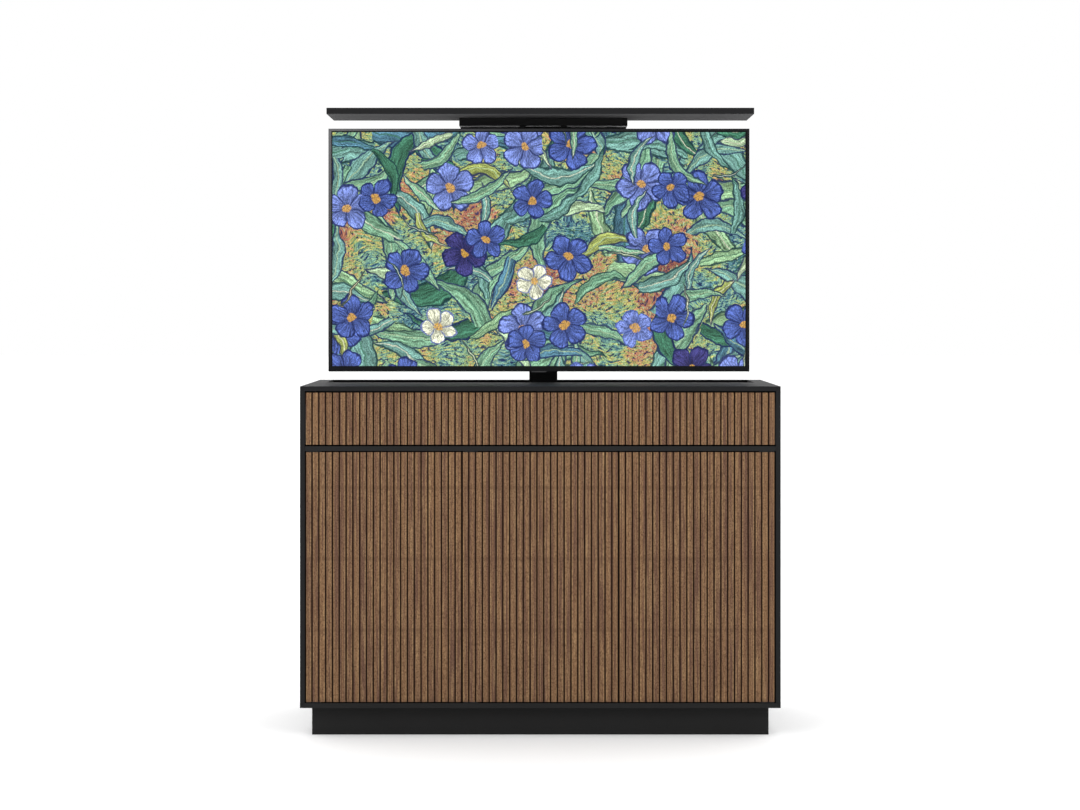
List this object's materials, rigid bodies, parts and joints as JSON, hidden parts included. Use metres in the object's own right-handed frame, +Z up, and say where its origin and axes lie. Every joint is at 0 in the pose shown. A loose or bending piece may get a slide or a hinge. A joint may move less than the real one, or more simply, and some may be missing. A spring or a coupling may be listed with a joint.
{
  "type": "tv lift cabinet",
  "caption": "Sideboard with slatted push-open doors and a drop-down flap; a telescopic column lifts a flat television out through the top with the lid riding above it.",
  "frame": {"origin": "on the floor, under the middle of the carcass's footprint", "axes": "+X to the right seen from the front, +Y towards the back, so the doors face -Y, +Z up"},
  "size_m": [1.33, 0.48, 1.769],
  "materials": {
    "carcass_black": "matt black laminate on fibreboard",
    "black_board": "dyed black fibreboard",
    "walnut": "oiled walnut veneer on milled slats",
    "black_steel": "matt black powder coat",
    "zinc_steel": "zinc plated",
    "grey_aluminium": "cast, satin",
    "black_plastic": "fine moulded texture",
    "bezel_metal": "dark anodised, satin",
    "screen_glass": "semi-gloss screen glass"
  },
  "bodies": {
    "carcass": {"left_side_panel": "carcass_black", "right_side_panel": "carcass_black", "top_panel": "carcass_black", "bottom_panel": "carcass_black", "flap_shelf": "carcass_black", "bay_partition": "carcass_black", "left_divider": "carcass_black", "right_divider": "carcass_black", "left_shelf": "carcass_black", "right_shelf": "carcass_black", "back_panel": "black_board", "back_access_cover": "black_board", "plinth_front": "carcass_black", "plinth_rear": "carcass_black", "plinth_left": "carcass_black", "plinth_right": "carcass_black", "left_door_latch_housing": "black_plastic", "centre_door_latch_housing": "black_plastic", "right_door_latch_housing": "black_plastic", "flap_latch_housing": "black_plastic", "column_outer_tube": "black_steel", "outer_glide_collar": "black_plastic", "lift_motor": "grey_aluminium", "control_box": "black_plastic"},
    "left_door": {"left_door_slats": "walnut", "left_door_core": "black_board", "left_door_bottom_pivot": "zinc_steel", "left_door_top_pivot": "zinc_steel"},
    "centre_door": {"centre_door_slats": "walnut", "centre_door_core": "black_board", "centre_door_bottom_pivot": "zinc_steel", "centre_door_top_pivot": "zinc_steel"},
    "right_door": {"right_door_slats": "walnut", "right_door_core": "black_board", "right_door_bottom_pivot": "zinc_steel", "right_door_top_pivot": "zinc_steel"},
    "flap": {"flap_slats": "walnut", "flap_core": "black_board", "left_flap_pivot_plate": "zinc_steel", "right_flap_pivot_plate": "zinc_steel"},
    "left_rod": {"left_stay_rod": "zinc_steel"},
    "right_rod": {"right_stay_rod": "zinc_steel"},
    "left_swivel": {"left_stay_swivel": "black_steel"},
    "right_swivel": {"right_stay_swivel": "black_steel"},
    "left_plunger": {"left_door_latch_plunger": "grey_aluminium"},
    "centre_plunger": {"centre_door_latch_plunger": "grey_aluminium"},
    "right_plunger": {"right_door_latch_plunger": "grey_aluminium"},
    "flap_plunger": {"flap_latch_plunger": "grey_aluminium"},
    "spindle": {"drive_spindle": "zinc_steel"},
    "middle_stage": {"column_middle_tube": "black_steel", "middle_glide_collar": "black_plastic"},
    "lift_head": {"column_inner_tube": "black_steel", "lid_bracket": "black_steel", "left_hanger_rail": "black_steel", "right_hanger_rail": "black_steel", "tv_mount_plate": "black_steel", "tv_bezel": "bezel_metal", "tv_screen": "screen_glass", "tv_rear_cover": "black_plastic", "lid": "carcass_black"}
  },
  "joints": [
    {"name": "lift_travel", "type": "slide", "parent": "carcass", "child": "lift_head", "axis": [0, 0, 1], "range_m": [-0.799, 0]},
    {"name": "middle_travel", "type": "slide", "parent": "carcass", "child": "middle_stage", "axis": [0, 0, 1], "range_m": [-0.3996, 0]},
    {"name": "spindle_turn", "type": "hinge", "parent": "carcass", "child": "spindle", "pos_m": [0.009, 0.196, 0.4], "axis": [0, 0, 1], "range_deg": [-1, 7200]},
    {"name": "left_door_hinge", "type": "hinge", "parent": "carcass", "child": "left_door", "pos_m": [-0.644, -0.234, 0.44], "axis": [0, 0, -1], "range_deg": [0, 95]},
    {"name": "centre_door_hinge", "type": "hinge", "parent": "carcass", "child": "centre_door", "pos_m": [-0.2104, -0.234, 0.44], "axis": [0, 0, -1], "range_deg": [0, 95]},
    {"name": "right_door_hinge", "type": "hinge", "parent": "carcass", "child": "right_door", "pos_m": [0.644, -0.234, 0.44], "axis": [0, 0, 1], "range_deg": [0, 95]},
    {"name": "flap_hinge", "type": "hinge", "parent": "carcass", "child": "flap", "pos_m": [0, -0.234, 0.8134], "axis": [1, 0, 0], "range_deg": [0, 90]},
    {"name": "left_rod_turn", "type": "hinge", "parent": "flap", "child": "left_rod", "pos_m": [-0.645, -0.213, 0.91117], "axis": [1, 0, 0], "range_deg": [-45.1, 0]},
    {"name": "right_rod_turn", "type": "hinge", "parent": "flap", "child": "right_rod", "pos_m": [0.645, -0.213, 0.91117], "axis": [1, 0, 0], "range_deg": [-45.1, 0]},
    {"name": "left_swivel_turn", "type": "hinge", "parent": "carcass", "child": "left_swivel", "pos_m": [-0.645, -0.17382, 0.89326], "axis": [1, 0, 0], "range_deg": [0, 45.1]},
    {"name": "right_swivel_turn", "type": "hinge", "parent": "carcass", "child": "right_swivel", "pos_m": [0.645, -0.17382, 0.89326], "axis": [1, 0, 0], "range_deg": [0, 45.1]},
    {"name": "left_latch_press", "type": "slide", "parent": "carcass", "child": "left_plunger", "axis": [0, 1, 0], "range_m": [0, 0.003], "stiffness_N_per_m": 400},
    {"name": "centre_latch_press", "type": "slide", "parent": "carcass", "child": "centre_plunger", "axis": [0, 1, 0], "range_m": [0, 0.003], "stiffness_N_per_m": 400},
    {"name": "right_latch_press", "type": "slide", "parent": "carcass", "child": "right_plunger", "axis": [0, 1, 0], "range_m": [0, 0.003], "stiffness_N_per_m": 400},
    {"name": "flap_latch_press", "type": "slide", "parent": "carcass", "child": "flap_plunger", "axis": [0, 1, 0], "range_m": [0, 0.003], "stiffness_N_per_m": 400}
  ],
  "couplings": [
    {"joint": "middle_travel", "follows": "lift_travel", "ratio": 0.5},
    {"joint": "spindle_turn", "follows": "lift_travel", "rad_per_m": -157.08},
    {"joint": "left_rod_turn", "follows": "flap_hinge", "ratio": -0.5},
    {"joint": "right_rod_turn", "follows": "flap_hinge", "ratio": -0.5},
    {"joint": "left_swivel_turn", "follows": "flap_hinge", "ratio": 0.5},
    {"joint": "right_swivel_turn", "follows": "flap_hinge", "ratio": 0.5}
  ]
}
